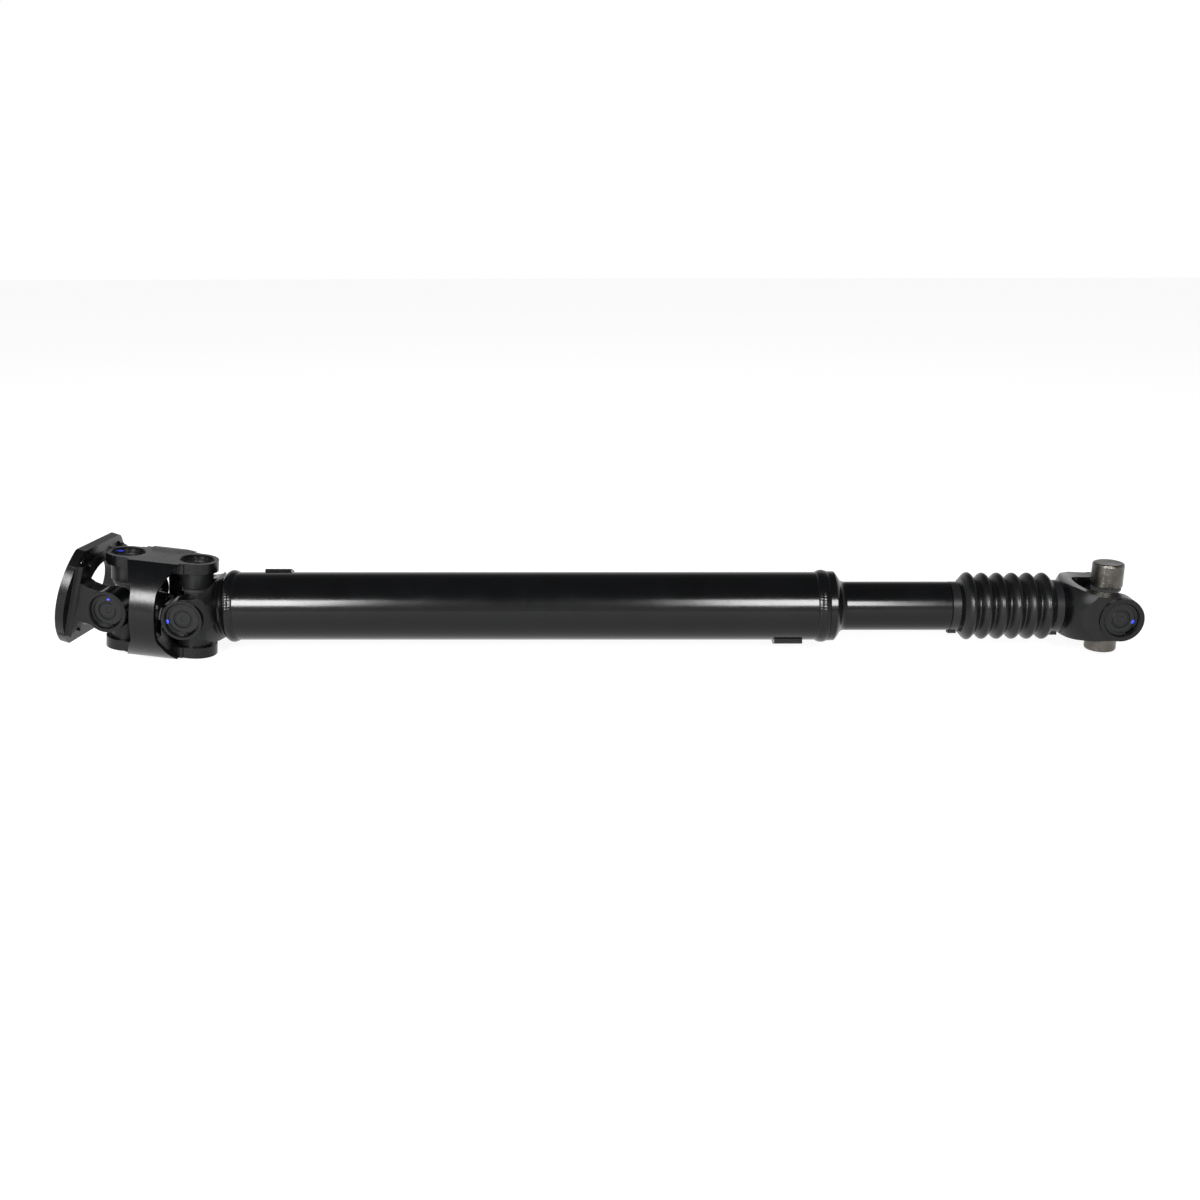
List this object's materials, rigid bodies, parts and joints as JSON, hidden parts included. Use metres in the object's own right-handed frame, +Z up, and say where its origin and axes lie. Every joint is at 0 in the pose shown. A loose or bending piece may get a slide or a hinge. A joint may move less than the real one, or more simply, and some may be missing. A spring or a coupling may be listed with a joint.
{
  "type": "universal joint shaft",
  "caption": "Vehicle driveshaft: flanged double-cardan joint, welded tube, booted splined slip section and a single cross with free bearing caps.",
  "frame": {"origin": "on the floor under the middle of the assembly's bounding box at the resting bend", "axes": "+X along the shaft from the flange to the axle end, +Y across the shaft, +Z up"},
  "size_m": [0.9882, 0.116, 0.1093],
  "materials": {
    "black_paint": "semi-gloss black paint over forged, cast and drawn steel",
    "bare_steel": "ground bare steel, lightly oiled",
    "zinc_steel": "zinc plated",
    "clamp_steel": "black coated steel band",
    "boot_rubber": "satin moulded rubber",
    "seal_rubber": "matt rubber"
  },
  "bodies": {
    "shaft_tube": {"main_tube": "black_paint", "shaft_yoke": "black_paint", "yoke_weld_bead": "black_paint", "slip_sleeve": "black_paint", "sleeve_weld_bead": "black_paint", "sleeve_plug": "black_paint", "balance_weight_front": "black_paint", "balance_weight_rear": "black_paint", "shaft_yoke_cups": "black_paint", "shaft_yoke_snap_rings": "black_paint", "stud_yoke": "black_paint", "boot_clamp_front": "clamp_steel", "boot": "boot_rubber"},
    "rear_cross": {"rear_cross": "bare_steel", "rear_cross_seals": "seal_rubber", "rear_needle_sets": "bare_steel", "rear_grease_fitting": "zinc_steel"},
    "coupling_yoke": {"coupling_yoke": "black_paint", "coupling_yoke_cups": "black_paint", "coupling_yoke_snap_rings": "black_paint"},
    "front_cross": {"front_cross": "bare_steel", "front_cross_seals": "seal_rubber", "front_needle_sets": "bare_steel", "front_grease_fitting": "zinc_steel"},
    "flange_yoke": {"flange_yoke": "black_paint", "flange_yoke_cups": "black_paint", "flange_yoke_snap_rings": "black_paint", "socket_yoke": "black_paint", "socket_grease_fitting": "zinc_steel"},
    "slip_yoke": {"slip_yoke": "black_paint", "slip_yoke_cups": "black_paint", "slip_yoke_snap_rings": "black_paint", "boot_clamp_rear": "clamp_steel"},
    "end_cross": {"end_cross": "bare_steel", "end_cross_seals": "seal_rubber", "end_needle_sets": "bare_steel", "end_grease_fitting": "zinc_steel"},
    "free_cup_upper": {"free_cup_upper": "bare_steel"},
    "free_cup_lower": {"free_cup_lower": "bare_steel"}
  },
  "joints": [
    {"name": "rear_cross_pivot", "type": "hinge", "parent": "shaft_tube", "child": "rear_cross", "pos_m": [-0.3744, -0.0074, 0.049], "axis": [0, 1, 0], "range_deg": [-17.8, 3]},
    {"name": "coupling_yoke_pivot", "type": "hinge", "parent": "rear_cross", "child": "coupling_yoke", "pos_m": [-0.3744, -0.0074, 0.049], "axis": [0.1012, 0, 0.9949], "range_deg": [-9, 14.9]},
    {"name": "front_cross_pivot", "type": "hinge", "parent": "coupling_yoke", "child": "front_cross", "pos_m": [-0.43908, -0.00411, 0.05558], "axis": [0.1012, 0, 0.9949], "range_deg": [-9, 14.9]},
    {"name": "flange_yoke_pivot", "type": "hinge", "parent": "front_cross", "child": "flange_yoke", "pos_m": [-0.43908, -0.00411, 0.05558], "axis": [0.1033, 0.9946, -0.0105], "range_deg": [-17.8, 3]},
    {"name": "slip", "type": "slide", "parent": "shaft_tube", "child": "slip_yoke", "axis": [1, 0, 0], "range_m": [-0.025, 0.03], "deforming": ["boot"]},
    {"name": "end_cross_pivot", "type": "hinge", "parent": "slip_yoke", "child": "end_cross", "pos_m": [0.4736, -0.0074, 0.049], "axis": [0, 1, 0], "range_deg": [-25, 25]},
    {"name": "upper_cup_spin", "type": "hinge", "parent": "end_cross", "child": "free_cup_upper", "pos_m": [0.4736, -0.0074, 0.049], "axis": [0, 0, 1], "continuous": true},
    {"name": "lower_cup_spin", "type": "hinge", "parent": "end_cross", "child": "free_cup_lower", "pos_m": [0.4736, -0.0074, 0.049], "axis": [0, 0, 1], "continuous": true}
  ],
  "couplings": [
    {"joint": "front_cross_pivot", "follows": "coupling_yoke_pivot", "ratio": 1},
    {"joint": "flange_yoke_pivot", "follows": "rear_cross_pivot", "ratio": 1}
  ]
}
